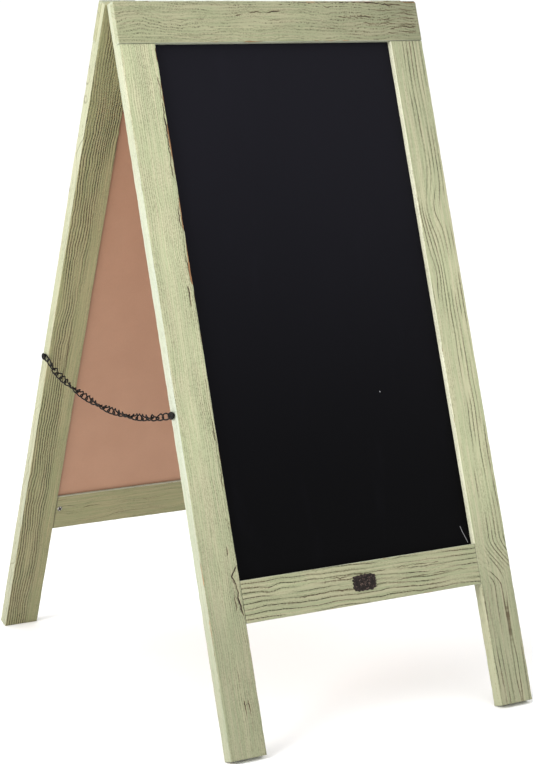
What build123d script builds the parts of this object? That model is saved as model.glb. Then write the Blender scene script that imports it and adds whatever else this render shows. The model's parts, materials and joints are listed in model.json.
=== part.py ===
from build123d import *
from math import atan, cos, radians, sin, sqrt
import os

# A folding menu chalkboard: two framed boards hinged along their top edges, with a chain at the left
# side that keeps them from opening further. Millimetres, +Z up, the floor at z = 0, the hinge line over
# y = 0, the front board facing -Y, and x = 0 midway between the outside of the chain and the right side.
# It stands open, each board leaning by LEAN.

# Frame of each panel
WIDTH = 500.0
LENGTH = 1026.0  # down the slope, from the top edge to the end of the feet
THICKNESS = 18.0
STILE_WIDTH = 55.5
TOP_RAIL_WIDTH = 59.0
BOTTOM_RAIL_WIDTH = 57.5
WINDOW_HEIGHT = 736.0  # board seen between the two rails
LEAN = 19.0  # degrees from the vertical
EASED_EDGE = 1.0

# Board, held in a groove that runs round the inside of the frame
FRONT_LIP = 8.6  # frame wood in front of the groove
BACK_LIP = 4.0  # frame wood behind it
GROOVE_DEPTH = 8.0
GROOVE_END_ROOM = 0.5  # between the board's edge and the bottom of the groove
GROOVE_SIDE_ROOM = 0.1  # between the board's faces and the sides of the groove
CHALK_THICKNESS = 1.2

# At the top corners rail and stile are halved over each other: the rail is whole outside, the stile inside
LAP_THICKNESS = THICKNESS / 2

# Dowels in the lower corner joints, two to a joint
DOWEL_RADIUS = 4.0
DOWEL_LENGTH = 36.0
DOWEL_END_ROOM = 1.0
DOWELS_BELOW_RAIL_TOP = (13.5, 43.0)
HOLE_ROOM = 0.05  # radial, round dowels, screws, pins and hinge pins

# Screws that lock the ends of the bottom rail, driven from the inner face
CORNER_SCREW_FROM_STILE = 6.1
CORNER_SCREW_BELOW_RAIL_TOP = 21.6
CORNER_SCREW_RADIUS = 1.5
CORNER_SCREW_LENGTH = 12.0
CORNER_HEAD_RADIUS = 3.9
CORNER_HEAD_HEIGHT = 1.4

# Butt hinges on the inner faces of the top rails
HINGE_FROM_CENTRE = 165.0
LEAF_WIDTH = 50.0
LEAF_LENGTH = 25.0  # below the panel's top edge
LEAF_THICKNESS = 1.5
LEAF_GAP = 0.6  # between the two leaves when the easel is shut
KNUCKLE_RADIUS = 3.0
KNUCKLE_COUNT = 5
KNUCKLE_GAP = 0.3
KNUCKLE_RISE = 2.9  # hinge line above the panel's top edge
HINGE_PIN_RADIUS = 1.5
HINGE_PIN_OVERHANG = 0.5
HINGE_SCREW_RADIUS = 1.4
HINGE_SCREW_LENGTH = 12.0
HINGE_HEAD_RADIUS = 2.6
HINGE_HEAD_HEIGHT = 1.2
HINGE_SCREW_SPOTS = ((-18.0, -8.0), (0.0, -18.0), (18.0, -8.0))  # from the hinge's middle

# Chain beside the left side of the easel. It leaves each screw close to the wood and swings out
# a little over its first few links.
WIRE_RADIUS = 0.85
LINK_WIDTH = 10.0
LINK_PITCH = 13.65
LINK_PLAY = 0.25
LINKS_PER_RUN = (6, 7, 1, 1, 1, 7, 6)  # from the front end to the back end
CHAIN_FROM_SIDE = 5.5  # middle of the chain out from the frame's side
CHAIN_END_FROM_SIDE = 1.35  # middle of the first and last links
SPREADING_LINKS = 3.0  # links over which it swings out
FRONT_CHAIN_BELOW_TOP = 565.0
BACK_CHAIN_BELOW_TOP = 548.0
CHAIN_SCREW_RADIUS = 1.75
CHAIN_SCREW_LENGTH = 23.0
CHAIN_SCREW_STANDS_OUT = 2.7  # bare shank between the frame and the head
CHAIN_HEAD_RADIUS = 5.0
CHAIN_HEAD_HEIGHT = 2.2
CHAIN_SCREW_PLAY = 0.16  # radial, in the end link

# Plate on the front bottom rail
BADGE_WIDTH = 40.0
BADGE_HEIGHT = 23.5
BADGE_THICKNESS = 1.2
BADGE_CORNER = 5.0
BADGE_RIM_WIDTH = 1.6
BADGE_RIM_HEIGHT = 0.7
BADGE_BOSS_LENGTH = 24.0
BADGE_BOSS_WIDTH = 11.0
BADGE_PIN_FROM_CENTRE = 16.2
BADGE_PIN_RADIUS = 0.7
BADGE_PIN_LENGTH = 9.0
BADGE_PIN_HEAD_RADIUS = 1.4
BADGE_PIN_HEAD_HEIGHT = 0.7

# Worked out from the sizes above
FRAME_X = (CHAIN_FROM_SIDE + LINK_WIDTH / 2) / 2  # middle of the frames, so that x = 0 halves the whole
LEAN_COS = cos(radians(LEAN))
LEAN_SIN = sin(radians(LEAN))
HINGE_BEHIND_FACE = LEAF_THICKNESS + LEAF_GAP / 2
HALF_TOP_GAP = KNUCKLE_RISE * LEAN_SIN + HINGE_BEHIND_FACE * LEAN_COS
TOP_EDGE_HEIGHT = LENGTH * LEAN_COS
RAIL_LENGTH = WIDTH - 2 * STILE_WIDTH
BOTTOM_RAIL_TOP = TOP_RAIL_WIDTH + WINDOW_HEIGHT
GROOVE_WIDTH = THICKNESS - FRONT_LIP - BACK_LIP
BOARD_WIDTH = RAIL_LENGTH + 2 * (GROOVE_DEPTH - GROOVE_END_ROOM)
BOARD_HEIGHT = WINDOW_HEIGHT + 2 * (GROOVE_DEPTH - GROOVE_END_ROOM)
BACKER_THICKNESS = GROOVE_WIDTH - 2 * GROOVE_SIDE_ROOM - CHALK_THICKNESS
BADGE_BELOW_TOP = BOTTOM_RAIL_TOP + BOTTOM_RAIL_WIDTH / 2
LINK_INNER_LENGTH = LINK_PITCH + LINK_PLAY
END_LINK_REACH = LINK_PITCH / 2 + LINK_INNER_LENGTH / 2 - CHAIN_SCREW_RADIUS - CHAIN_SCREW_PLAY

TOWARDS = {"front": -1, "back": 1}  # the way each panel faces along Y
SIDES = {"left": -1, "right": 1}  # as seen by someone reading the front board
CHAIN_SIDE = "left"


def panel_plane(panel):
    """A panel's inner face: origin mid top edge, +Y up the slope, +Z out through the thickness."""
    way = TOWARDS[panel]
    top_edge = (FRAME_X, way * HALF_TOP_GAP, TOP_EDGE_HEIGHT)
    return Plane(origin=top_edge, x_dir=(-way, 0, 0), z_dir=(0, way * LEAN_COS, LEAN_SIN))


def across(panel, side):
    """Which way along the panel's own X that side of the easel is."""
    return -TOWARDS[panel] * SIDES[side]


def save(builder, label):
    """Label a finished piece and write it out."""
    builder.part.label = label
    export_step(builder.part, f"parts/{label}.step")


def make_screw(radius, length, head_radius, head_height, countersunk):
    """A cross-head wood screw that points down -Z, its head resting on or sunk below z = 0."""
    crown = 0.0 if countersunk else head_height
    seat = -head_height if countersunk else 0.0
    tip = -length
    with BuildPart() as screw:
        with BuildSketch(Plane.XZ):
            with BuildLine():
                if countersunk:
                    Polyline((0, 0), (head_radius, 0), (radius, seat), (radius, tip + 2 * radius))
                else:
                    ThreePointArc(
                        (0, crown),
                        (0.6 * head_radius, 0.85 * crown),
                        (head_radius, 0.3 * crown),
                    )
                    Polyline(
                        (head_radius, 0.3 * crown),
                        (head_radius, 0),
                        (radius, 0),
                        (radius, tip + 2 * radius),
                    )
                Polyline((radius, tip + 2 * radius), (0, tip), (0, crown))
            make_face()
        revolve(axis=Axis.Z)
        with Locations((0, 0, crown)):
            Box(1.3 * head_radius, 0.3 * head_radius, head_height, mode=Mode.SUBTRACT)
            Box(0.3 * head_radius, 1.3 * head_radius, head_height, mode=Mode.SUBTRACT)
    return screw.part


def cut_hole(spot, turn, radius, length):
    """Drill the part being built: a straight hole centred at spot, with its axis turned from +Z."""
    with Locations(spot):
        Cylinder(radius + HOLE_ROOM, length, rotation=turn, mode=Mode.SUBTRACT)


ALONG_X = (0, 90, 0)
ALONG_Z = (0, 0, 0)


def make_top_rail(panel, plane):
    """Top rail, its outer half across the tops of both stiles and its inner half between them."""
    with BuildPart(plane) as rail:
        with Locations((0, -TOP_RAIL_WIDTH / 2, THICKNESS / 2)):
            Box(WIDTH, TOP_RAIL_WIDTH, THICKNESS)
        fillet(rail.edges().filter_by(Axis.X), radius=EASED_EDGE)
        with Locations((0, -TOP_RAIL_WIDTH + GROOVE_DEPTH / 2, BACK_LIP + GROOVE_WIDTH / 2)):
            Box(RAIL_LENGTH + 2 * GROOVE_DEPTH, GROOVE_DEPTH, GROOVE_WIDTH, mode=Mode.SUBTRACT)
        for way in (-1, 1):
            lap_middle = way * (RAIL_LENGTH + STILE_WIDTH) / 2
            with Locations((lap_middle, -TOP_RAIL_WIDTH / 2, LAP_THICKNESS / 2)):
                Box(STILE_WIDTH, TOP_RAIL_WIDTH, LAP_THICKNESS, mode=Mode.SUBTRACT)
            for x, y in HINGE_SCREW_SPOTS:
                spot = (way * HINGE_FROM_CENTRE + x, y, 0)
                cut_hole(spot, ALONG_Z, HINGE_SCREW_RADIUS, 2 * HINGE_SCREW_LENGTH)
    save(rail, f"{panel}_top_rail")


def make_bottom_rail(panel, plane):
    """Bottom rail, between the stiles. The front one also carries the badge."""
    with BuildPart(plane) as rail:
        with Locations((0, -BOTTOM_RAIL_TOP - BOTTOM_RAIL_WIDTH / 2, THICKNESS / 2)):
            Box(RAIL_LENGTH, BOTTOM_RAIL_WIDTH, THICKNESS)
        fillet(rail.edges().filter_by(Axis.X), radius=EASED_EDGE)
        with Locations((0, -BOTTOM_RAIL_TOP - GROOVE_DEPTH / 2, BACK_LIP + GROOVE_WIDTH / 2)):
            Box(RAIL_LENGTH, GROOVE_DEPTH, GROOVE_WIDTH, mode=Mode.SUBTRACT)
        for way in (-1, 1):
            for drop in DOWELS_BELOW_RAIL_TOP:
                spot = (way * RAIL_LENGTH / 2, -BOTTOM_RAIL_TOP - drop, THICKNESS / 2)
                cut_hole(spot, ALONG_X, DOWEL_RADIUS, DOWEL_LENGTH + 2 * DOWEL_END_ROOM)
            x = way * (RAIL_LENGTH / 2 - CORNER_SCREW_FROM_STILE)
            spot = (x, -BOTTOM_RAIL_TOP - CORNER_SCREW_BELOW_RAIL_TOP, 0)
            cut_hole(spot, ALONG_Z, CORNER_SCREW_RADIUS, 2 * CORNER_SCREW_LENGTH)
            if panel == "front":
                spot = (way * BADGE_PIN_FROM_CENTRE, -BADGE_BELOW_TOP, THICKNESS)
                cut_hole(spot, ALONG_Z, BADGE_PIN_RADIUS, 2 * BADGE_PIN_LENGTH)
    save(rail, f"{panel}_bottom_rail")


def make_stile(panel, side, plane):
    """Upright at one side of a panel, from the top down to the foot, halved under the top rail."""
    way = across(panel, side)
    inner_edge = way * RAIL_LENGTH / 2
    middle = inner_edge + way * STILE_WIDTH / 2
    groove_length = WINDOW_HEIGHT + 2 * GROOVE_DEPTH
    chain_drop = FRONT_CHAIN_BELOW_TOP if panel == "front" else BACK_CHAIN_BELOW_TOP
    with BuildPart(plane) as stile:
        with Locations((middle, -LENGTH / 2, THICKNESS / 2)):
            Box(STILE_WIDTH, LENGTH, THICKNESS)
        fillet(stile.edges().filter_by(Axis((0, 0, 0), plane.y_dir)), radius=EASED_EDGE)
        with Locations((middle, -TOP_RAIL_WIDTH / 2, THICKNESS - LAP_THICKNESS / 2)):
            Box(STILE_WIDTH, TOP_RAIL_WIDTH, LAP_THICKNESS, mode=Mode.SUBTRACT)
        window_middle = -TOP_RAIL_WIDTH - WINDOW_HEIGHT / 2
        with Locations((inner_edge + way * GROOVE_DEPTH / 2, window_middle, BACK_LIP + GROOVE_WIDTH / 2)):
            Box(GROOVE_DEPTH, groove_length, GROOVE_WIDTH, mode=Mode.SUBTRACT)
        for drop in DOWELS_BELOW_RAIL_TOP:
            spot = (inner_edge, -BOTTOM_RAIL_TOP - drop, THICKNESS / 2)
            cut_hole(spot, ALONG_X, DOWEL_RADIUS, DOWEL_LENGTH + 2 * DOWEL_END_ROOM)
        if side == CHAIN_SIDE:
            spot = (way * WIDTH / 2, -chain_drop, THICKNESS / 2)
            sunk = CHAIN_SCREW_LENGTH - CHAIN_SCREW_STANDS_OUT
            cut_hole(spot, ALONG_X, CHAIN_SCREW_RADIUS, 2 * sunk)
    save(stile, f"{panel}_{side}_stile")


def make_board(panel, plane):
    """Chalk surface and the hardboard behind it, both held in the groove."""
    middle = -TOP_RAIL_WIDTH - WINDOW_HEIGHT / 2
    back_face = BACK_LIP + GROOVE_SIDE_ROOM
    with BuildPart(plane) as backer:
        with Locations((0, middle, back_face + BACKER_THICKNESS / 2)):
            Box(BOARD_WIDTH, BOARD_HEIGHT, BACKER_THICKNESS)
    save(backer, f"{panel}_backer_board")
    with BuildPart(plane) as chalk:
        with Locations((0, middle, back_face + BACKER_THICKNESS + CHALK_THICKNESS / 2)):
            Box(BOARD_WIDTH, BOARD_HEIGHT, CHALK_THICKNESS)
    save(chalk, f"{panel}_chalk_sheet")


def make_dowels(panel, plane):
    """Four dowels, two in each lower corner of a frame."""
    with BuildPart(plane) as dowels:
        for way in (-1, 1):
            for drop in DOWELS_BELOW_RAIL_TOP:
                with Locations((way * RAIL_LENGTH / 2, -BOTTOM_RAIL_TOP - drop, THICKNESS / 2)):
                    Cylinder(DOWEL_RADIUS, DOWEL_LENGTH, rotation=ALONG_X)
        chamfer(dowels.edges().filter_by(GeomType.CIRCLE), length=0.8)
    save(dowels, f"{panel}_dowels")


def make_corner_screws(panel, plane):
    """Two screws in the inner face, one near each end of the bottom rail."""
    screw = make_screw(
        CORNER_SCREW_RADIUS, CORNER_SCREW_LENGTH, CORNER_HEAD_RADIUS, CORNER_HEAD_HEIGHT, False
    )
    x = RAIL_LENGTH / 2 - CORNER_SCREW_FROM_STILE
    y = -BOTTOM_RAIL_TOP - CORNER_SCREW_BELOW_RAIL_TOP
    inward = -plane.z_dir
    with BuildPart() as screws:
        for way in (-1, 1):
            spot = plane.from_local_coords((way * x, y, 0))
            with Locations(Plane(origin=spot, x_dir=plane.x_dir, z_dir=inward)):
                add(screw)
    save(screws, f"{panel}_corner_screws")


def make_hinge_leaf(panel, side, plane):
    """Leaf on the inner face of the top rail. The front one has the odd knuckles, the back one the even."""
    middle = across(panel, side) * HINGE_FROM_CENTRE
    pitch = LEAF_WIDTH / KNUCKLE_COUNT
    axis_z = -HINGE_BEHIND_FACE
    first = 0 if panel == "front" else 1
    with BuildPart(plane) as leaf:
        with Locations((middle, (KNUCKLE_RISE - LEAF_LENGTH) / 2, -LEAF_THICKNESS / 2)):
            Box(LEAF_WIDTH, LEAF_LENGTH + KNUCKLE_RISE, LEAF_THICKNESS)
        for number in range(KNUCKLE_COUNT):
            spot = (middle - LEAF_WIDTH / 2 + (number + 0.5) * pitch, KNUCKLE_RISE, axis_z)
            with Locations(spot):
                if number % 2 == first:
                    Cylinder(KNUCKLE_RADIUS, pitch - KNUCKLE_GAP, rotation=ALONG_X)
                else:
                    notch_radius = KNUCKLE_RADIUS + KNUCKLE_GAP
                    Cylinder(notch_radius, pitch + KNUCKLE_GAP, rotation=ALONG_X, mode=Mode.SUBTRACT)
        for number in range(first, KNUCKLE_COUNT, 2):
            spot = (middle - LEAF_WIDTH / 2 + (number + 0.5) * pitch, KNUCKLE_RISE, axis_z)
            cut_hole(spot, ALONG_X, HINGE_PIN_RADIUS, pitch)
        for x, y in HINGE_SCREW_SPOTS:
            with Locations((middle + x, y, -LEAF_THICKNESS / 2)):
                Cylinder(HINGE_SCREW_RADIUS + HOLE_ROOM, LEAF_THICKNESS, mode=Mode.SUBTRACT)
            with Locations((middle + x, y, -LEAF_THICKNESS + HINGE_HEAD_HEIGHT / 2)):
                Cone(
                    HINGE_HEAD_RADIUS + HOLE_ROOM,
                    HINGE_SCREW_RADIUS + HOLE_ROOM,
                    HINGE_HEAD_HEIGHT,
                    mode=Mode.SUBTRACT,
                )
    save(leaf, f"{side}_hinge_{panel}_leaf")


def make_hinge_screws(panel, side, plane):
    """Three countersunk screws that hold one leaf."""
    screw = make_screw(
        HINGE_SCREW_RADIUS, HINGE_SCREW_LENGTH, HINGE_HEAD_RADIUS, HINGE_HEAD_HEIGHT, True
    )
    middle = across(panel, side) * HINGE_FROM_CENTRE
    inward = -plane.z_dir
    with BuildPart() as screws:
        for x, y in HINGE_SCREW_SPOTS:
            spot = plane.from_local_coords((middle + x, y, -LEAF_THICKNESS))
            with Locations(Plane(origin=spot, x_dir=plane.x_dir, z_dir=inward)):
                add(screw)
    save(screws, f"{side}_hinge_{panel}_screws")


def make_hinge_pin(side):
    """Pin through all the knuckles of one hinge, fast in the front leaf."""
    length = LEAF_WIDTH + 2 * HINGE_PIN_OVERHANG
    height = TOP_EDGE_HEIGHT + KNUCKLE_RISE * LEAN_COS - HINGE_BEHIND_FACE * LEAN_SIN
    with BuildPart() as pin:
        with Locations((FRAME_X + SIDES[side] * HINGE_FROM_CENTRE, 0, height)):
            Cylinder(HINGE_PIN_RADIUS, length, rotation=ALONG_X)
        chamfer(pin.edges().filter_by(GeomType.CIRCLE), length=0.3)
    save(pin, f"{side}_hinge_pin")


def make_badge(plane):
    """Blank oval-boss plate on the front bottom rail, and the two pins that hold it."""
    middle = (0, -BADGE_BELOW_TOP)
    with BuildPart() as badge:
        with BuildSketch(plane.offset(THICKNESS)):
            with Locations(middle):
                RectangleRounded(BADGE_WIDTH, BADGE_HEIGHT, BADGE_CORNER)
        extrude(amount=BADGE_THICKNESS)
        with BuildSketch(plane.offset(THICKNESS + BADGE_THICKNESS)):
            with Locations(middle):
                RectangleRounded(BADGE_WIDTH, BADGE_HEIGHT, BADGE_CORNER)
                RectangleRounded(
                    BADGE_WIDTH - 2 * BADGE_RIM_WIDTH,
                    BADGE_HEIGHT - 2 * BADGE_RIM_WIDTH,
                    BADGE_CORNER - BADGE_RIM_WIDTH,
                    mode=Mode.SUBTRACT,
                )
                Ellipse(BADGE_BOSS_LENGTH / 2, BADGE_BOSS_WIDTH / 2)
        extrude(amount=BADGE_RIM_HEIGHT)
        with BuildSketch(plane.offset(THICKNESS)):
            with Locations(middle):
                with GridLocations(2 * BADGE_PIN_FROM_CENTRE, 0, 2, 1):
                    Circle(BADGE_PIN_RADIUS + HOLE_ROOM)
        extrude(amount=BADGE_THICKNESS, mode=Mode.SUBTRACT)
    save(badge, "badge_plate")
    with BuildPart() as pins:
        with BuildSketch(plane.offset(THICKNESS + BADGE_THICKNESS)):
            with Locations(middle):
                with GridLocations(2 * BADGE_PIN_FROM_CENTRE, 0, 2, 1):
                    Circle(BADGE_PIN_RADIUS)
        extrude(amount=-BADGE_PIN_LENGTH)
        with BuildSketch(plane.offset(THICKNESS + BADGE_THICKNESS)):
            with Locations(middle):
                with GridLocations(2 * BADGE_PIN_FROM_CENTRE, 0, 2, 1):
                    Circle(BADGE_PIN_HEAD_RADIUS)
        extrude(amount=BADGE_PIN_HEAD_HEIGHT, taper=20)
    save(pins, "badge_pins")


def chain_end(panel):
    """Where the middle of a chain screw stands, as Y and Z."""
    drop = FRONT_CHAIN_BELOW_TOP if panel == "front" else BACK_CHAIN_BELOW_TOP
    spot = panel_plane(panel).from_local_coords((0, -drop, THICKNESS / 2))
    return spot.Y, spot.Z


def make_chain_screw(panel):
    """The screw that holds this panel's end of the chain."""
    way = SIDES[CHAIN_SIDE]
    y, z = chain_end(panel)
    screw = make_screw(
        CHAIN_SCREW_RADIUS, CHAIN_SCREW_LENGTH, CHAIN_HEAD_RADIUS, CHAIN_HEAD_HEIGHT, False
    )
    seat = (FRAME_X + way * (WIDTH / 2 + CHAIN_SCREW_STANDS_OUT), y, z)
    with BuildPart() as placed:
        with Locations(Plane(origin=seat, x_dir=(0, 1, 0), z_dir=(way, 0, 0))):
            add(screw)
    save(placed, f"{panel}_chain_screw")


def halve(low, high, too_low):
    """The value between low and high at which too_low stops being true."""
    for _ in range(60):
        middle = (low + high) / 2
        if too_low(middle):
            low = middle
        else:
            high = middle
    return (low + high) / 2


def hanging_slopes(lengths, run, rise):
    """Slope angle of each link of a chain hung between two points that are run apart and rise in height.

    Along a hanging chain the tangent of the slope grows evenly from link to link: it is
    step * (number - lowest), where lowest is the number of the link that lies level.
    """
    numbers = range(len(lengths))

    def slopes(lowest, step):
        return [atan(step * (number - lowest)) for number in numbers]

    def best_step(lowest):
        def still_wide(step):
            return sum(n * cos(a) for n, a in zip(lengths, slopes(lowest, step))) > run

        return halve(0.0, 1.0, still_wide)

    def still_high(lowest):
        angles = slopes(lowest, best_step(lowest))
        return sum(n * sin(a) for n, a in zip(lengths, angles)) > rise

    lowest = halve(0.0, len(lengths) - 1.0, still_high)
    return slopes(lowest, best_step(lowest))


def make_link():
    """One oval wire link, its length along X and its width along Y."""
    bend = LINK_WIDTH / 2 - WIRE_RADIUS
    straight = LINK_INNER_LENGTH / 2 + WIRE_RADIUS - bend
    with BuildPart() as link:
        with BuildLine() as oval:
            Line((-straight, bend), (straight, bend))
            ThreePointArc((straight, bend), (straight + bend, 0), (straight, -bend))
            Line((straight, -bend), (-straight, -bend))
            ThreePointArc((-straight, -bend), (-straight - bend, 0), (-straight, bend))
        with BuildSketch(Plane(origin=(-straight, bend, 0), z_dir=(1, 0, 0))):
            Circle(WIRE_RADIUS)
        sweep(path=oval.wires()[0])
    return link.part


def joint_from_side(number, count):
    """How far out from the frame's side joint number of a chain of count links is."""
    from_end = min(number, count - number) - 1
    share = min(max(from_end / SPREADING_LINKS, 0.0), 1.0)
    return CHAIN_END_FROM_SIDE + share * (CHAIN_FROM_SIDE - CHAIN_END_FROM_SIDE)


def make_chain(link):
    """The chain, written as the runs of links that stay together when it bends."""
    way = SIDES[CHAIN_SIDE]
    count = sum(LINKS_PER_RUN)
    lengths = [END_LINK_REACH] + [LINK_PITCH] * (count - 2) + [END_LINK_REACH]
    out = [joint_from_side(number, count) for number in range(count + 1)]
    flat_lengths = [sqrt(n**2 - (b - a) ** 2) for n, a, b in zip(lengths, out, out[1:])]
    y, z = chain_end("front")
    back_y, back_z = chain_end("back")
    slopes = hanging_slopes(flat_lengths, back_y - y, back_z - z)
    planes = []
    for number, (length, slope) in enumerate(zip(flat_lengths, slopes)):
        x = FRAME_X + way * (WIDTH / 2 + out[number])
        step = (way * (out[number + 1] - out[number]), length * cos(slope), length * sin(slope))
        upright = (0, -sin(slope), cos(slope))
        # the middle of a link is half a pitch from the joint with its neighbour
        share = 1 - LINK_PITCH / 2 / length if number == 0 else LINK_PITCH / 2 / lengths[number]
        spot = (x + share * step[0], y + share * step[1], z + share * step[2])
        across = Vector(step).cross(Vector(upright))
        facing = across if number % 2 == 0 else Vector(upright)
        planes.append(Plane(origin=spot, x_dir=step, z_dir=facing))
        y += step[1]
        z += step[2]
    first = 0
    for number, run in enumerate(LINKS_PER_RUN, start=1):
        with BuildPart() as links:
            with Locations(*planes[first : first + run]):
                add(link)
        save(links, f"chain_{number}")
        first += run


os.makedirs("parts", exist_ok=True)
for panel in TOWARDS:
    plane = panel_plane(panel)
    make_top_rail(panel, plane)
    make_bottom_rail(panel, plane)
    make_board(panel, plane)
    make_dowels(panel, plane)
    make_corner_screws(panel, plane)
    make_chain_screw(panel)
    for side in SIDES:
        make_stile(panel, side, plane)
        make_hinge_leaf(panel, side, plane)
        make_hinge_screws(panel, side, plane)
make_badge(panel_plane("front"))
for side in SIDES:
    make_hinge_pin(side)
make_chain(make_link())
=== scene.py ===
import json
import math
import bpy
import numpy as np
from mathutils import Matrix, Vector


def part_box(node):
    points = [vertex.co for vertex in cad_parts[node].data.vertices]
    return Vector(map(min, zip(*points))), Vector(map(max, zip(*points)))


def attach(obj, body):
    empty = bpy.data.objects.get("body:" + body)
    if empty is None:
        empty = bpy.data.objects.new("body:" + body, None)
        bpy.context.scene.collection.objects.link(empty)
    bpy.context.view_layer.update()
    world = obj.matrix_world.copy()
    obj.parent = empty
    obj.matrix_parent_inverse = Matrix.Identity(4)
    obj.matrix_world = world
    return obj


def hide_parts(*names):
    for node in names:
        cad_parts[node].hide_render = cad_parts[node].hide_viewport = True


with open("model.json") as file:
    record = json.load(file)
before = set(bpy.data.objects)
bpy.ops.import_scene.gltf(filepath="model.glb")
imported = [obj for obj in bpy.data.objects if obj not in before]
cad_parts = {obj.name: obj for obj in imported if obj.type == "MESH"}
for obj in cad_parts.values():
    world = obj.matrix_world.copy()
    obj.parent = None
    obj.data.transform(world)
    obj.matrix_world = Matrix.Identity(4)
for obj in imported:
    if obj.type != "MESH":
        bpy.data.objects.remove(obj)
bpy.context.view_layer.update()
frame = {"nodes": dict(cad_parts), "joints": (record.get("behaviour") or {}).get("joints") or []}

MM = 0.001
JOINTS = {j["name"]: j for j in frame["joints"]}
LEAN = -math.radians(JOINTS["fold"]["range_deg"][0]) / 2
WAY = {"front": -1.0, "back": 1.0}
rail_lo, rail_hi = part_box("front_top_rail")
MID = np.array([(rail_lo[0] + rail_hi[0]) / 2, 0.0, 0.0])  # the boards' middle, without the chain


# ---------------- the frame, in each panel's own axes
def panel_axes(panel):
    """Rows: along X, down the slope, out through the panel's thickness."""
    sine, cosine = math.sin(LEAN), math.cos(LEAN)
    way = WAY[panel]
    return np.array([[1.0, 0.0, 0.0], [0.0, way * sine, -cosine], [0.0, way * cosine, sine]])


def extent(panel, node):
    """Lowest and highest (x, down, out) of a CAD node, in mm."""
    data = frame["nodes"][node].data
    co = np.zeros(len(data.vertices) * 3, np.float32)
    data.vertices.foreach_get("co", co)
    local = (co.reshape(-1, 3).astype(float) - MID) @ panel_axes(panel).T / MM
    return local.min(0), local.max(0)


def to_world(panel, local_mm):
    return (local_mm * MM) @ panel_axes(panel) + MID


def axis_point(name):
    """A joint's pivot, from the record."""
    return np.array(JOINTS[name]["pos_m"], float)


# ---------------- meshes
def add_piece(name, body, material, node, points, faces, attributes=None):
    """A smooth-shaded piece that stands in for a CAD node.

    faces is a list of integer arrays, each one face per row; which side is out is found from the volume.
    """
    volume = 0.0
    for f in faces:
        for k in range(1, f.shape[1] - 1):
            far_side = np.cross(points[f[:, k]], points[f[:, k + 1]])
            volume += np.einsum("ij,ij->i", points[f[:, 0]], far_side).sum()
    if volume < 0:
        faces = [f[:, ::-1] for f in faces]
    sizes = np.concatenate([np.full(len(f), f.shape[1]) for f in faces])
    mesh = bpy.data.meshes.new(name)
    mesh.vertices.add(len(points))
    mesh.vertices.foreach_set("co", points.astype(np.float32).ravel())
    mesh.loops.add(int(sizes.sum()))
    mesh.polygons.add(len(sizes))
    mesh.polygons.foreach_set("loop_start", (np.cumsum(sizes) - sizes).astype(np.int32))
    mesh.loops.foreach_set("vertex_index", np.concatenate([f.ravel() for f in faces]).astype(np.int32))
    mesh.update(calc_edges=True)
    mesh.validate()
    mesh.polygons.foreach_set("use_smooth", np.ones(len(sizes), bool))
    for key, value in (attributes or {}).items():
        kind, field = ("FLOAT_VECTOR", "vector") if value.ndim == 2 else ("FLOAT", "value")
        layer = mesh.attributes.new(key, kind, "POINT")
        layer.data.foreach_set(field, value.astype(np.float32).ravel())
    mesh.materials.append(material)
    piece = bpy.data.objects.new(name, mesh)
    bpy.context.scene.collection.objects.link(piece)
    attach(piece, body)
    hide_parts(node)


def grid_faces(rows, columns, first=0, closed=False):
    """Quads over a rows x columns block of vertices numbered from first, columns fastest."""
    r = np.arange(rows - 1)[:, None]
    c = np.arange(columns if closed else columns - 1)[None]
    n = (c + 1) % columns
    quads = np.stack([r * columns + c, r * columns + n, (r + 1) * columns + n, (r + 1) * columns + c], -1)
    return first + quads.reshape(-1, 4)


def capped(rows, columns, low, high):
    """Faces of a tube of rows x columns points, its ends closed by the points numbered low and high."""
    k = np.arange(columns)
    after = (k + 1) % columns
    last = (rows - 1) * columns
    return [
        grid_faces(rows, columns, closed=True),
        np.stack([after, k, np.full(columns, low)], -1),
        np.stack([last + k, last + after, np.full(columns, high)], -1),
    ]


def join_parts(parts):
    """parts is a list of (points, faces); one list of points and faces."""
    points, faces, first = [], [], 0
    for p, f in parts:
        points.append(p)
        faces += [q + first for q in f]
        first += len(p)
    return np.concatenate(points), faces


class Waves:
    """Smooth noise about -1 to 1: a sum of seeded plane waves over (along, across, through), in mm."""

    def __init__(self, seed, along, across, count=9):
        rng = np.random.default_rng(seed)
        lengths = np.array([along, across, across])
        self.k = 2 * np.pi * rng.normal(size=(count, 3)) / lengths
        self.p = rng.uniform(0, 2 * np.pi, count)
        self.scale = 1.25 / math.sqrt(count)

    def __call__(self, along, across=0.0, through=0.0):
        total = 0.0
        for k, p in zip(self.k, self.p):
            total = total + np.sin(k[0] * along + k[1] * across + k[2] * through + p)
        return total * self.scale


def smooth(x, lo, hi):
    f = np.clip((x - lo) / (hi - lo), 0, 1)
    return f * f * (3 - 2 * f)


def bump(distance, reach, power=2):
    """1 at no distance, fading to 0 past its reach."""
    return np.exp(-((distance / reach) ** power))


def stretch_of(along, start, stop, ease, ease_out=None):
    """1 between start and stop, 0 elsewhere, eased over ease to both sides of each."""
    out = ease if ease_out is None else ease_out
    return smooth(along, start - ease, start + ease) * (1 - smooth(along, stop - out, stop + out))


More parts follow.
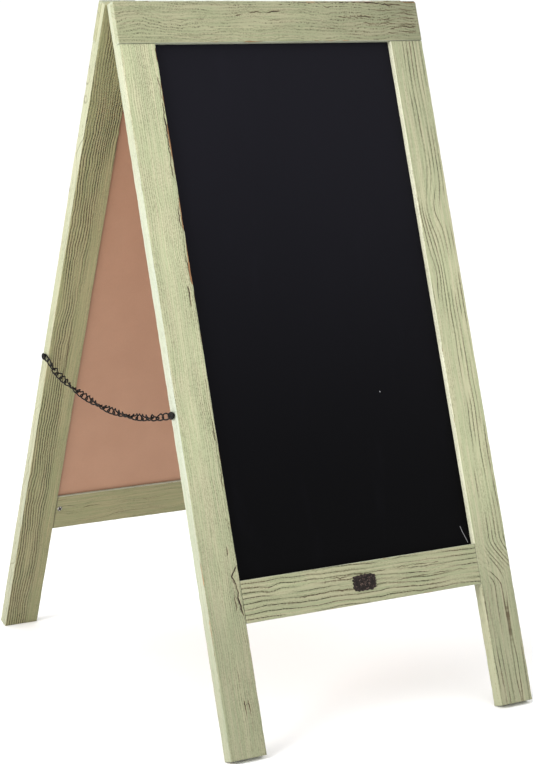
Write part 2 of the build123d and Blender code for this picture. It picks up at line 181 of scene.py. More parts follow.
# ---------------- node materials
class Value:
    """A value in a node material: arithmetic on it adds nodes."""

    def __init__(self, graph, socket):
        self.graph, self.socket = graph, socket

    def __add__(self, other):
        return self.graph.calc("ADD", self, other)

    def __sub__(self, other):
        return self.graph.calc("SUBTRACT", self, other)

    def __rsub__(self, other):
        return self.graph.calc("SUBTRACT", other, self)

    def __mul__(self, other):
        return self.graph.calc("MULTIPLY", self, other)

    def __abs__(self):
        return self.graph.calc("ABSOLUTE", self)

    def ramp(self, lo, hi, to_lo=0.0, to_hi=1.0):
        """to_lo at lo, to_hi at hi, eased between them and level beyond."""
        inputs = {"Value": self, "From Min": lo, "From Max": hi, "To Min": to_lo, "To Max": to_hi}
        return self.graph.node("ShaderNodeMapRange", inputs, interpolation_type="SMOOTHSTEP")


class Graph:
    """A node material written as expressions; numbers are set on the sockets themselves."""

    def __init__(self, name):
        self.material = bpy.data.materials.new(name)
        self.material.use_nodes = True
        self.tree = self.material.node_tree
        self.tree.nodes.clear()

    def node(self, kind, inputs, out=0, **settings):
        """Adds a node and gives one of its outputs. inputs maps sockets to Values or numbers."""
        made = self.tree.nodes.new(kind)
        for key, value in settings.items():
            setattr(made, key, value)
        for key, value in inputs.items():
            socket = made.inputs[key]
            if isinstance(value, Value):
                self.tree.links.new(value.socket, socket)
            else:
                socket.default_value = (*value, 1.0) if socket.type == "RGBA" else value
        return Value(self, made.outputs[out])

    def calc(self, operation, *values):
        return self.node("ShaderNodeMath", dict(enumerate(values)), operation=operation)

    def vector(self, name):
        return self.node("ShaderNodeAttribute", {}, "Vector", attribute_name=name)

    def number(self, name):
        return self.node("ShaderNodeAttribute", {}, "Fac", attribute_name=name)

    def spot(self):
        return self.node("ShaderNodeTexCoord", {}, "Object")

    def mix(self, factor, a, b, blend="MIX"):
        return self.node("ShaderNodeMix", {0: factor, 6: a, 7: b}, 2, data_type="RGBA", blend_type=blend)

    def split(self, vector):
        x = self.node("ShaderNodeSeparateXYZ", {0: vector})
        return [Value(self, socket) for socket in x.socket.node.outputs]

    def join(self, x, y, z):
        return self.node("ShaderNodeCombineXYZ", {0: x, 1: y, 2: z})

    def stretch(self, vector, scale, offset=(0, 0, 0)):
        return self.node("ShaderNodeMapping", {"Vector": vector, "Scale": scale, "Location": offset})

    def noise(self, vector, detail=2.0, roughness=0.5, scale=1.0, distortion=0.0):
        inputs = {"Vector": vector, "Scale": scale, "Detail": detail}
        return self.node("ShaderNodeTexNoise", {**inputs, "Roughness": roughness, "Distortion": distortion})

    def scale_colour(self, colour, factor):
        return self.mix(1.0, colour, self.join(factor, factor, factor), "MULTIPLY")

    def finish(self, colour, roughness, height=None, distance=0.001, metallic=0.0, specular=0.5):
        inputs = {"Base Color": colour, "Roughness": roughness, "Metallic": metallic}
        inputs["Specular IOR Level"] = specular
        if height is not None:
            inputs["Normal"] = self.node("ShaderNodeBump", {"Height": height, "Distance": distance})
        surface = self.node("ShaderNodeBsdfPrincipled", inputs)
        output = self.tree.nodes.new("ShaderNodeOutputMaterial")
        self.tree.links.new(surface.socket, output.inputs["Surface"])
        return self.material


def painted_wood(
    name, seed, dashes=0.6, darkness=0.9, warmth=0.0, fine=1.0, rate=170.0,
    tint=(0.76, 0.735, 0.785), full=0.0, side=(0.480, 0.515, 0.435),
):
    """Distressed sage paint. The mesh carries where grain lines, cracks and bare wood are.

    dashes breaks the dark grain lines into dots, rate is how closely, and full makes fewer of them fade.
    warmth turns green into tan, fine is how strong the smallest marks are, and side the colour of the
    painted highlight on the narrow faces.
    """
    g = Graph(name)
    shift = (seed * 0.37, seed * 0.91, seed * 0.53)
    grain = g.vector("grain")
    along = g.split(grain)[0]
    ring, gap, strength = g.split(g.vector("ring"))
    crack_off, crack_half, bare_here = g.split(g.vector("crack"))

    def grain_noise(along_scale, across_scale, detail, roughness=0.5):
        stretched = g.stretch(grain, (along_scale, across_scale, across_scale), shift)
        return g.noise(stretched, detail, roughness)

    def line_noise(line_number, along_scale, offset, detail, roughness=0.5):
        """Noise along a grain line, different on every line."""
        return g.noise(g.join(along * along_scale, line_number, seed + offset), detail, roughness)

    # grain lines: at whole numbers of the ring field
    number = g.calc("FLOOR", ring + 0.5)
    off = abs(ring - number) * gap
    own = number * 3.71
    dash = line_noise(own, rate, 0.0, 2.0, 0.6)
    reach = line_noise(own, 13.0, 7.0, 1.0)
    choice = g.noise(g.join(own, seed * 1.3, 0.5), 0.0, scale=1.9)
    half = dash * 0.75 + 0.18
    dotted = dash.ramp(0.36 + 0.12 * dashes, 0.50 + 0.12 * dashes)
    chance = reach * 0.55 + choice * 0.45 + strength * 0.09
    present = chance.ramp(0.47 - full, 0.60 - full)
    line = off.ramp(half + 0.25, half - 0.20) * (present * strength)
    broken = line * (dotted * dashes + (1.0 - dashes))
    # fainter dotted lines half way between them
    twice = ring * 2.0 + 0.5
    number_2 = g.calc("FLOOR", twice + 0.5)
    off_2 = abs(twice - number_2) * (gap * 0.5)
    own_2 = number_2 * 5.13
    dots = line_noise(own_2, 430.0, 3.0, 1.0, 0.6).ramp(0.44, 0.60)
    stretches = line_noise(own_2, 17.0, 11.0, 1.0).ramp(0.36, 0.56)
    faint = off_2.ramp(0.62, 0.20) * (dots * stretches) * gap.ramp(1.4, 3.0)
    # soft shade beside each line, where the paint sinks into the early wood
    soft = off.ramp(2.2, 0.0) * (strength * (present * 0.5))
    # open pores, long and thin
    pores = grain_noise(150, 1500, 1.0).ramp(0.585, 0.70) * grain_noise(9, 90, 1.0).ramp(0.42, 0.62)
    streak = grain_noise(7, 420, 3.0, 0.65)
    broad = grain_noise(5, 60, 2.0)
    blotch = grain_noise(22, 34, 3.0, 0.55)
    speckle = grain_noise(420, 900, 2.0, 0.6)
    # paint
    green = tuple(np.multiply((0.412, 0.452, 0.245), tint))
    tan = tuple(np.multiply((0.475, 0.472, 0.275), tint))
    mingle = streak * 0.7 + (blotch + warmth) * 0.3
    paint = g.mix(mingle.ramp(0.42, 0.60), green, tan)
    tone = (streak - 0.5) * (0.40 * fine) + (broad - 0.5) * 0.24 + (speckle - 0.5) * (0.16 * fine)
    paint = g.scale_colour(paint, tone + 1.0)
    brown = g.mix(blotch.ramp(0.42, 0.6), (0.030, 0.024, 0.010), (0.068, 0.043, 0.018))
    # light and shade painted along the bar and into the joint seams,
    # and a painted highlight on the narrow faces
    paint = g.scale_colour(paint, g.number("shade"))
    paint = g.mix(g.number("side_light"), paint, side)
    paint = g.mix(soft * 0.26, paint, (0.17, 0.155, 0.080))
    paint = g.mix(pores * (0.42 * fine), paint, (0.12, 0.11, 0.05))
    paint = g.mix(faint * (0.55 * fine), paint, (0.13, 0.115, 0.055))
    paint = g.mix(broken * darkness, paint, brown)
    # cracks: painted shade darkest inside, brown at the lips
    gape = (dash - 0.5) * (crack_half * 1.1) + crack_half
    crack_mm = abs(crack_off)
    open_crack = crack_mm.ramp(gape + 0.12, gape - 0.35) * crack_half.ramp(0.02, 0.30)
    lip = crack_mm.ramp(gape + 1.3, gape) * crack_half.ramp(0.05, 0.5)
    paint = g.mix(lip * 0.45, paint, (0.22, 0.15, 0.075))
    paint = g.mix(open_crack, paint, (0.020, 0.012, 0.006))
    # worn places, with a dark rim
    ragged = grain_noise(60, 420, 4.0, 0.7)
    worn_level = (ragged - 0.5) * 0.9 + bare_here
    worn = worn_level.ramp(0.47, 0.56)
    rim = worn_level.ramp(0.36, 0.48) * worn_level.ramp(0.62, 0.50)
    wood = g.mix(streak.ramp(0.38, 0.62), (0.235, 0.105, 0.040), (0.520, 0.300, 0.140))
    wood = g.mix(speckle.ramp(0.35, 0.70), g.scale_colour(wood, 0.75), wood)
    colour = g.mix(worn, paint, wood)
    colour = g.mix(rim * 0.40, colour, (0.13, 0.085, 0.04))
    rough = (broad - 0.5) * 0.25 + 0.56 + (worn * 0.16 + broken * 0.2)
    height = broken * -0.75 + pores * -0.35 + (streak * 0.45 + speckle * 0.14)
    height = height + (worn * -0.35 + open_crack * -1.4) + (soft * -0.30 + faint * -0.35)
    return g.finish(colour, rough, height, 0.00055, specular=0.35)


# ---------------- frame members
CORNERS = {"A": (1, 1), "B": (0, 1), "C": (0, 0), "D": (1, 0)}  # (window side, outer face)
EDGE_RADIUS, FACE_STEP, SIDE_STEP = 1.1, 0.75, 1.2
BEVEL = 0.45
GROOVE_ROOM, GROOVE_END_ROOM = 0.1, 0.5
INNER_POINTS = 5  # across the groove, or across the wood where there is none
CAP_RINGS = 8
STEP_ROOM = 0.02  # rows either side of a lap joint's shoulder
SHOULDER_RISE = 0.6  # the stile's shoulder reaches into the rail's eased edge
CRACK_REACH, NO_CRACK = 2.3, 30.0


def outline_of(width, depth, g0, g1):
    """The outline from the groove's outer lip round to its inner lip: (across, through, their normals)."""
    radius = EDGE_RADIUS
    out = []

    def run(v0, t0, v1, t1, nv, nt, step):
        n = max(2, round(math.hypot(v1 - v0, t1 - t0) / step))
        for k in range(n + 1):
            out.append((v0 + (v1 - v0) * k / n, t0 + (t1 - t0) * k / n, nv, nt))

    def corner(v, t, start):
        for k in range(1, 5):
            a = math.radians(start + 90 * k / 5)
            out.append((v + radius * math.cos(a), t + radius * math.sin(a), math.cos(a), math.sin(a)))

    run(width, g1, width, depth - radius, 1, 0, SIDE_STEP)
    corner(width - radius, depth - radius, 0)
    run(width - radius, depth, radius, depth, 0, 1, FACE_STEP)
    corner(radius, depth - radius, 90)
    run(0, depth - radius, 0, radius, -1, 0, SIDE_STEP)
    corner(radius, radius, 180)
    run(radius, 0, width - radius, 0, 0, -1, FACE_STEP)
    corner(width - radius, radius, 270)
    run(width, radius, width, g0, 1, 0, SIDE_STEP)
    return np.array(out)


def bar_rows(start, stop, row_step, shoulders):
    """Places along a bar, each with how far the outline is drawn in there: a small bevel at both ends."""
    count = max(8, round((stop - start - 2 * BEVEL) / row_step))
    middle = np.linspace(start + BEVEL, stop - BEVEL, count + 1)
    for at in shoulders:
        if start + 1 < at < stop - 1:
            middle = middle[np.abs(middle - at) > 0.5]
            middle = np.sort(np.append(middle, [at - STEP_ROOM, at + STEP_ROOM]))
    first, last = [(start, BEVEL), (start + 0.12, 0.22)], [(stop - 0.12, 0.22), (stop, BEVEL)]
    return np.array(first + [(at, 0.0) for at in middle] + last)


def bar_skin(rows, outline, width, grooved, groove_depth):
    """The long faces of a bar, with the board's groove over the part of its length that grooved gives.

    Gives the points as rows (along, across, through, two normals, a zero), the faces, and for each end the
    ring of points round it with whether the groove runs out there.
    """
    blocks, faces = [], []

    def put(shape, *fields):
        first = sum(b.shape[1] for b in blocks)
        blocks.append(np.stack([np.broadcast_to(f, shape).ravel() for f in (*fields, 0.0)]))
        return first + np.arange(shape[0] * shape[1]).reshape(shape)

    n, last = len(outline), len(rows) - 1
    v, t, nv, nt = outline.T
    at, inset = rows[:, :1], rows[:, 1:]
    main = put((len(rows), n), at, v - inset * nv, t - inset * nt, nv, nt)
    faces.append(grid_faces(len(rows), n))
    g0, g1 = t[-1], t[0]
    deep_v = groove_depth * np.array([0.5, 1, 1, 1, 0.5])
    deep_t = np.array([g0, g0, (g0 + g1) / 2, g1, g1])
    flat_t = g0 + (g1 - g0) * np.arange(1, INNER_POINTS + 1) / (INNER_POINTS + 1)
    cuts = [k for k in np.searchsorted(rows[:, 0], grooved) if 0 < k < len(rows)]
    groove_mid = sum(grooved) / 2
    before, after, ends = {}, {}, {}
    for a, b in zip([0, *cuts], [*cuts, last]):
        part = slice(a, b + 1)
        shape = (b + 1 - a, INNER_POINTS)
        is_groove = abs((rows[a, 0] + rows[b, 0]) / 2 - groove_mid) < (grooved[1] - grooved[0]) / 2
        if is_groove:
            inner = put(shape, at[part], width - deep_v, deep_t, 0.0, 0.0)
        else:
            inner = put(shape, at[part], width - inset[part], flat_t, 1.0, 0.0)
        strip = np.concatenate([main[part, -1:], inner, main[part, :1]], 1)
        quads = np.stack([strip[:-1, :-1], strip[:-1, 1:], strip[1:, 1:], strip[1:, :-1]], -1)
        faces.append(quads.reshape(-1, 4))
        after[a], before[b] = inner[0], inner[-1]
        for row, k in ((a, 0), (b, -1)):
            ends[row] = (np.concatenate([main[row], inner[k]]), is_groove)
    for k in cuts:
        wall = np.concatenate([main[k, -1:], before[k], main[k, :1], after[k][::-1]])[None]
        faces.append(wall if rows[k, 0] > groove_mid else wall[:, ::-1])
    return np.concatenate(blocks, 1), faces, (ends[0], ends[last])


def close_ends(skin, faces, ends):
    """Adds the end faces: one polygon where the groove runs out, else rings that shrink to a point."""
    for (ring, is_groove), sign in zip(ends, (-1, 1)):
        if is_groove:
            faces.append(ring[None, ::sign])
            continue
        m = len(ring)
        after = np.roll(np.arange(m), -1)
        rim = skin[:, ring] * np.array([1, 1, 1, 0, 0, 0])[:, None]
        rim[5] = sign
        centre = rim.copy()
        centre[1:3] = rim[1:3].mean(1)[:, None]
        previous = ring
        for k in range(1, CAP_RINGS):
            fresh = skin.shape[1] + np.arange(m)
            skin = np.concatenate([skin, centre + (rim - centre) * (1 - k / CAP_RINGS)], 1)
            faces.append(np.stack([previous, previous[after], fresh[after], fresh], -1)[:, ::sign])
            previous = fresh
        tip = np.full(m, skin.shape[1])
        skin = np.concatenate([skin, centre[:, :1]], 1)
        faces.append(np.stack([previous, previous[after], tip], -1)[:, ::sign])
    return skin


def crack_fields(along, origin, across, marks, quick, slow):
    """Signed distance to the nearest crack and its half width there; each crack is (points, half width)."""
    off = np.full(along.shape, NO_CRACK)
    half_width = np.zeros(along.shape)
    wiggle = 0.45 * quick((along + origin) * 2.1) + 0.35 * quick((along + origin) * 7.3)
    uneven = 0.8 + 0.4 * slow((along + origin) * 3)
    for points, half in marks:
        at, path = zip(*points)
        distance = across - np.interp(along, at, path) - wiggle
        ease = min(2.5, 0.125 * (at[-1] - at[0]))
        taper = stretch_of(along, at[0] + ease, at[-1] - ease, ease)
        nearest = (along > at[0] - 3) & (along < at[-1] + 3) & (np.abs(distance) < np.abs(off))
        off = np.where(nearest, distance, off)
        half_width = np.where(nearest, half * taper * uneven * (np.abs(distance) < CRACK_REACH), half_width)
    return off, half_width


def edge_fields(points, origin, width, depth, wear, chips, slow, rough, fine):
    """How bare and how dented the wood is by its edges: softened unevenly, with worn stretches and chips."""
    L, V, T = points
    along = L - origin
    bare, dent = np.zeros(L.shape), np.zeros(L.shape)
    for number, (label, (at_v, at_t)) in enumerate(CORNERS.items(), start=1):
        far = np.hypot(V - at_v * width, T - at_t * depth)
        phase = 97.0 * number
        amount = rough(L + phase)
        dent += bump(far, 1.5) * (0.12 + 0.30 * np.clip(amount, 0, 1))
        bare += bump(far, 1.3) * np.clip(0.10 + 0.22 * amount, 0, 1)
        for _, start, stop, level, reach in (w for w in wear if w[0] == label):
            span = bump(far, reach) * stretch_of(along, start, stop, 8)
            bare += span * level * (0.8 + 0.35 * slow(L * 2 + phase))
            dent += span * 0.35
        for _, start, stop, deep, reach in (c for c in chips if c[0] == label):
            span = stretch_of(along, start, stop, 1.5, 3)
            dent += bump(far, reach, 4) * deep * span * (1 + 0.25 * fine(L, V, T))
            bare += 0.8 * bump(far, reach + 0.8) * span
    return bare, dent


def member(
    node, paint, seed, row_step, ring, wave, pith, strength,
    knots=(), marks=(), wear=(), chips=(), shade=((0, 1.0),), side_light=((0, 0.5),),
):
    """One bar of a frame, as a dense skin over the CAD bar's own extent.

    Places along a stile are measured down from the top edge, and along a rail from the panel's middle. The
    grain is rings of one spacing, ring, round a pith line, pith(along). wave makes them wander, and each of
    knots bends them: (along, across, reach along, reach across, amount). strength(along, across) is how
    dark they are. marks are cracks on the face that is seen. wear and chips are worn and dented stretches of
    an edge: (corner, from, to, amount, reach). shade is light and shade painted along the bar, and the last
    table a painted highlight on the narrow faces; both are (place, value) tables.
    """
    panel, place = node.split("_", 1)
    lengthwise, window_end, grooved, laps, seams = PLACES[place]
    crosswise = 1 - lengthwise
    lo, hi = extent(panel, node)
    width, depth = hi[crosswise] - lo[crosswise], hi[2] - lo[2]
    board_lo = extent(panel, f"{panel}_backer_board")[0]
    board_hi = extent(panel, f"{panel}_chalk_sheet")[1]
    if window_end > 0:
        groove_depth = hi[crosswise] - board_lo[crosswise] + GROOVE_END_ROOM
    else:
        groove_depth = board_hi[crosswise] - lo[crosswise] + GROOVE_END_ROOM
    outline = outline_of(width, depth, board_lo[2] - GROOVE_ROOM - lo[2], board_hi[2] + GROOVE_ROOM - lo[2])
    start, stop = lo[lengthwise], hi[lengthwise]
    rows = bar_rows(start, stop, row_step, {end for lap in laps for end in lap})
    skin, faces, ends = bar_skin(rows, outline, width, grooved, groove_depth)
    # at a lap joint a rail keeps its outer half and a stile its inner half
    for a, b in laps:
        lapped = (skin[0] > a - 1) & (skin[0] < b) if a <= start else (skin[0] > a) & (skin[0] < b + 1)
        skin[2] = np.where(lapped, skin[2] / 2 + (0.0 if lengthwise else depth / 2), skin[2])
    # places along, across and through the bar, and the same three of the normals
    L, V, T, NV, NT, NL = close_ends(skin, faces, ends)
    origin = top_edge if lengthwise else 0.0
    along = L - origin
    on_side = np.abs(NV) > 0.8

    # the wood: rings round a pith line that wanders, seen wherever the bar cuts them
    slow, quick, lift = Waves(seed, 170, 90), Waves(seed + 1, 46, 60), Waves(seed + 2, 240, 120)
    patch, rough, fine = Waves(seed + 3, 130, 34), Waves(seed + 4, 38, 400), Waves(seed + 5, 7, 9)

    def rings_at(l, v, t):
        pith_v, pith_t = pith(l - origin)
        v_bent = v + wave * (slow(l, v, t) + 0.28 * quick(l, v, t)) - pith_v
        for at, across, reach, reach_across, amount in knots:
            v_bent += amount * bump(l - origin - at, reach) * bump(v - across, reach_across)
        return np.hypot(v_bent, t + 0.5 * wave * lift(l, v, t) - pith_t) / ring

    rings = rings_at(L, V, T)
    nudge = 0.2
    slope = np.hypot(rings_at(L, V + nudge, T) - rings, rings_at(L + nudge, V, T) - rings) / nudge
    slope_side = np.abs(rings_at(L, V, T + nudge) - rings) / nudge
    gap = 1 / np.maximum(np.where(on_side, slope_side, slope), 0.05)
    dark = np.clip(strength(along, V) * (0.85 + 0.35 * patch(L, V, T)), 0, 1)
    dark *= np.where(on_side, 0.45, 1.0) * np.where(NL != 0, 0.2, 1.0) * smooth(gap, 1.1, 2.5)

    face_seen = NT > 0.5 if panel == "front" else NT < -0.5
    crack_off, crack_half = crack_fields(along, origin, V, marks, quick, slow)
    crack_off = np.where(face_seen, crack_off, NO_CRACK)
    crack_half = np.where(face_seen, crack_half, 0.0)

    bare, dent = edge_fields((L, V, T), origin, width, depth, wear, chips, slow, rough, fine)
    line = bump(np.abs(rings - np.round(rings)) * gap, 0.8)
    relief = 0.11 * np.clip((gap - 2.0) / 2.5, 0.1, 1) * line * dark
    relief += 0.05 * quick(L, V, T) + 0.03 * fine(L, V, T)
    crack_dip = 0.5 * bump(crack_off, crack_half + 0.4) * np.minimum(crack_half * 2, 1)
    relief += np.where(crack_half > 0.02, crack_dip, 0)
    # stay clear of neighbours at the joints: nothing grows outwards
    sink = np.maximum(relief + dent, -0.02)
    local = np.zeros((len(L), 3))
    local[:, lengthwise] = L - NL * 0.08 * (1 + fine(L, V, T))
    inwards = width - (V - NV * sink)
    local[:, crosswise] = hi[crosswise] - inwards if window_end > 0 else lo[crosswise] + inwards
    local[:, 2] = lo[2] + T - NT * sink

    # light and shade painted along the bar; it brightens the narrow faces less
    tone = np.interp(along, *zip(*shade))
    tone = np.where(on_side, np.minimum(tone, 1 + 0.25 * (tone - 1)), tone)
    # painted shade in the seams where the members meet
    seam = np.ones(L.shape)
    for at, t_from, t_to in seams:
        seam -= 0.6 * bump(L - at, 0.7) * ((NL == 0) & (T >= t_from) & (T <= t_to))
    # a painted highlight on the narrow faces, and more weakly on the ends
    narrow = np.maximum(smooth(np.abs(NV), 0.35, 0.8), 0.35 * (NL != 0))
    attributes = {
        "grain": np.stack([L, V + 0.35 * wave * slow(L, V, T), T], -1) * MM,
        "ring": np.stack([rings, gap, dark], -1),
        "crack": np.stack([crack_off, crack_half, np.clip(bare, 0, 1.2)], -1),
        "side_light": np.interp(along, *zip(*side_light)) * narrow * (0.9 + 0.1 * patch(L, V, T)),
        "shade": tone * seam,
    }
    points = to_world(panel, local)
    add_piece(f"{node}_wood", f"{panel}_panel", paint, node, points, faces, attributes)


def steady(v, t, lean_v=0.0, lean_t=0.0):
    """A pith line that drifts evenly along the bar."""
    return lambda along: (v + lean_v * along, t + lean_t * along)


def even(amount):
    return lambda along, across: amount


# where the members meet, in the panels' own axes; both panels are alike
(x0, top_edge, _), (x1, rail_foot, _) = extent("front", "front_top_rail")
(rail_0, *_), (rail_1, *_) = extent("front", "front_bottom_rail")
board_foot = extent("front", "front_chalk_sheet")[1][1]
board_span = (rail_0, rail_1 - 1.5 * STEP_ROOM)
stile_groove = (rail_foot, board_foot + GROOVE_END_ROOM)
rail_laps = ((x0, rail_0), (rail_1, x1))
rail_seams = ((rail_0, 0, 8.9), (rail_1, 0, 8.9))
stile_laps = ((top_edge, rail_foot - SHOULDER_RISE),)
stile_seams = ((rail_foot, 9.1, 18),)
bottom_seams = ((rail_0, 0, 18), (rail_1, 0, 18))
PLACES = {  # (0 along X or 1 down the slope, window end, grooved stretch, lap joints, seams)
    "top_rail": (0, 1, board_span, rail_laps, rail_seams),
    "bottom_rail": (0, -1, (x0, x1), (), bottom_seams),
    "left_stile": (1, 1, stile_groove, stile_laps, stile_seams),
    "right_stile": (1, -1, stile_groove, stile_laps, stile_seams),
}

member(
    "front_top_rail",
    painted_wood("paint_front_top", 1.0, dashes=1.0, darkness=0.92, rate=560.0, fine=1.1, full=0.09),
    seed=11, row_step=1.5, ring=3.8, wave=2.5, pith=steady(150, -60, 0.02),
    strength=lambda along, across: (
        0.90 - 0.45 * smooth(across, 36, 50) * (1 - smooth(along, 90, 150)) + 0.2 * smooth(along, 150, 210)
    ),
    knots=(
        (205, 30, 24, 20, 6.0), (240, 18, 26, 22, -7.0), (150, 46, 60, 14, 3.0),
        (-30, 20, 46, 12, 3.5), (-160, 12, 60, 14, 3.0),
    ),
    marks=(
        (((-62, 21), (-42, 17.5), (-28, 15.5), (-10, 16.5), (4, 14.6), (16, 15.5)), 0.72),
        (((-20, 28), (0, 27.2), (24, 28.4), (52, 27.4), (84, 29)), 0.26),
        (((-170, 25), (-150, 26.4), (-128, 27.0), (-110, 26.2)), 0.24),
        (((150, 33), (172, 34.8), (196, 33.0), (222, 35.4), (246, 34.0)), 0.42),
        (((176, 27), (198, 28.6), (220, 25.4), (246, 27.0)), 0.36),
        (((170, 13.0), (190, 14.8), (214, 12.6), (246, 15.0)), 0.36),
        (((204, 20.4), (224, 18.2), (246, 20.6)), 0.44),
        (((86, 6.5), (94, 9.8), (101, 8.2)), 0.60),
        (((108, 23), (130, 24.5), (148, 23.4), (170, 24.2)), 0.62),
        (((36, 1.8), (90, 1.5), (150, 1.8), (176, 3.0), (190, 4.4)), 0.95),
        (((186, 4.4), (200, 6.0), (212, 5.2), (224, 7.6)), 0.95),
        (((196, 42), (214, 38.5), (232, 39.5), (246, 37.6)), 0.62),
        (((190, 48.5), (212, 46.8), (246, 46.2)), 0.40),
    ),
    wear=(("A", -60, 130, 0.62, 2.0), ("B", 20, 250, 0.60, 1.5), ("A", -190, -60, 0.2, 1.5)),
    chips=(("B", 229, 252, 1.3, 2.6), ("B", 60, 74, 0.5, 1.6)),
    shade=((-250, 0.95), (0, 0.90), (150, 0.82), (250, 0.68)),
)
member(
    "front_bottom_rail",
    painted_wood("paint_front_bottom", 2.0, dashes=0.40, darkness=0.95, warmth=0.02, rate=420.0, full=0.05),
    seed=21, row_step=1.6, ring=6.3, wave=1.0, pith=steady(-150, -60, -0.02), strength=even(1.0),
    knots=((-150, 40, 12, 9, 2.6), (-134, 44, 10, 9, -2.2), (120, 30, 70, 20, 3.0), (-60, 48, 60, 10, 2.5)),
    marks=(
        (((-60, 41), (-20, 40.2), (20, 41.4), (70, 42.6), (130, 40.5)), 0.30),
        (((-110, 22.5), (-60, 24.0), (-10, 23.2), (40, 24.6), (110, 26.0), (190, 25.0)), 0.26),
    ),
    wear=(("B", 40, 180, 0.4, 1.5),),
    shade=((x0, 0.93), (x1, 0.90)),
)
member(
    "front_left_stile",
    painted_wood(
        "paint_front_left", 3.0, dashes=0.75, darkness=0.45, fine=0.72, rate=420.0, full=0.10,
        side=(0.485, 0.530, 0.505), tint=(0.765, 0.748, 0.82),
    ),
    seed=31, row_step=2.2, ring=2.9, wave=1.2, pith=steady(-125.4983, -50, 0.006),
    strength=lambda along, across: 0.55 + 0.25 * smooth(across, 30, 46),
    knots=((806, 55, 30, 15, 11.0), (905, 56, 14, 8, 5.0), (120, 20, 60, 12, -3.0)),
    marks=(
        (((140, 52.6), (200, 51.6), (240, 50.8), (262, 52.8)), 0.62),
        (((393, 45.5), (401, 47.8), (411, 46.4), (425, 47.2)), 0.80),
        (((428, 46.4), (437, 45.0), (450, 43.4)), 0.42),
        (((480, 52.0), (560, 51.0), (640, 52.4), (720, 51.2), (748, 52.4)), 0.30),
        (((104, 50.6), (124, 52.0), (139, 51.0)), 0.50),
        (((262, 52.4), (300, 50.8), (330, 51.8), (352, 50.2), (372, 52.2), (392, 51.6)), 0.50),
        (((709, 46.5), (714, 50.6), (720, 54.5)), 0.40),
        (((746, 42.6), (753, 43.6), (761, 43.0)), 0.40),
        (
            (
                (773, 55.0), (779, 50.0), (787, 44.5), (796, 47.6), (808, 50.0),
                (815, 48.6), (822, 49.7), (832, 51.6), (843, 52.8),
            ),
            0.98,
        ),
        (((797, 43.4), (806, 44.6), (818, 43.6), (836, 44.4)), 0.34),
        (((910, 31.4), (919, 30.6), (929, 31.4)), 0.50),
        (((949, 34.4), (962, 33.6), (976, 34.2)), 0.60),
        (((950, 39.6), (962, 40.2), (975, 39.4)), 0.52),
        (((982, 40.0), (992, 40.8), (1002, 40.2)), 0.50),
    ),
    wear=(
        ("A", 112, 392, 1.0, 3.0), ("A", 400, 450, 0.6, 1.6),
        ("B", 760, 890, 0.48, 1.3), ("A", 450, 760, 0.35, 1.3),
    ),
    chips=(("A", 66, 84, 0.7, 1.8), ("A", 300, 318, 0.6, 1.7)),
    shade=((100, 1.36), (300, 1.34), (600, 1.24), (800, 1.0), (860, 0.88), (1026, 0.85)),
    side_light=((0, 0.22), (150, 0.22), (330, 0.42), (600, 0.42), (760, 0.22), (1026, 0.12)),
)


def plain_but_for_knots(along, across):
    """The right stile's grain: faint by the window, except beside the knots and down the leg."""
    beside_knots = smooth(along, 285, 310) * (1 - smooth(along, 430, 470))
    above_leg = 1 - smooth(along, 800, 880)
    return 0.95 - 0.75 * smooth(across, 32, 44) * above_leg * (1 - beside_knots)


member(
    "front_right_stile",
    painted_wood(
        "paint_front_right", 4.0, dashes=0.20, darkness=0.85, rate=240.0, full=0.02,
        side=(0.735, 0.725, 0.560), tint=(0.80, 0.775, 0.85),
    ),
    seed=41, row_step=2.2, ring=6.2, wave=0.7, strength=plain_but_for_knots,
    pith=lambda along: (60.0 - 42.0 * smooth(along, 790, 860), 22.0 - 16.0 * smooth(along, 780, 860)),
    knots=((312, 34, 36, 20, -12.0), (404, 42, 26, 10, 4.5)),
    wear=(("A", 500, 560, 0.4, 1.5),),
    shade=((60, 0.98), (250, 1.08), (400, 1.17), (700, 1.17), (800, 0.97), (860, 0.82), (1026, 0.80)),
    side_light=((0, 0.82), (780, 0.72), (850, 0.10), (1026, 0.08)),
)

# back panel: its inner face is the one seen between the boards, its paint tinted darker than the front's
# as painted shade on that inner face
BACK_SHADE_TINT = (0.675, 0.625, 0.58)
member(
    "back_top_rail", painted_wood("paint_back_top", 5.0, dashes=0.6, darkness=0.85, tint=BACK_SHADE_TINT),
    seed=51, row_step=1.6, ring=6.0, wave=3.0, pith=steady(150, 80, -0.02), strength=even(0.9),
    knots=((-90, 20, 30, 18, 6.0),),
    wear=(("C", -250, -120, 0.4, 1.6), ("B", -40, 160, 0.5, 1.7), ("A", 40, 180, 0.6, 2.0)),
)
member(
    "back_bottom_rail", painted_wood("paint_back_bottom", 6.0, dashes=0.4, darkness=0.6, tint=BACK_SHADE_TINT),
    seed=61, row_step=1.8, ring=8.5, wave=2.6, pith=steady(-120, 90, 0.02), strength=even(0.5),
    knots=((-150, 46, 24, 12, 4.0), (60, 20, 40, 14, 4.0)),
    marks=((((-150, 33), (-132, 34), (-104, 33.2)), 0.30),),
    shade=((0, 0.87),), side_light=((0, 0.75),),
)
member(
    "back_left_stile",
    painted_wood(
        "paint_back_left", 7.0, dashes=0.15, darkness=0.95, warmth=0.04, fine=0.8, rate=200.0,
        tint=BACK_SHADE_TINT, full=0.18,
    ),
    seed=71, row_step=2.2, ring=3.9, wave=1.5, pith=steady(-60, 15.8361, 0.0, 0.01),
    strength=lambda along, across: 1.15 - 1.0 * smooth(across, 28, 42) * smooth(along, 130, 300),
    knots=((205, 46, 40, 12, 3.0),),
    marks=((((470, 29.5), (520, 31), (600, 30.2), (652, 29.4)), 0.34),),
    wear=(("B", 330, 560, 0.35, 1.5),),
    shade=((0, 1.22), (500, 1.12), (700, 0.98), (900, 0.88), (1026, 0.86)), side_light=((0, 0.36),),
)
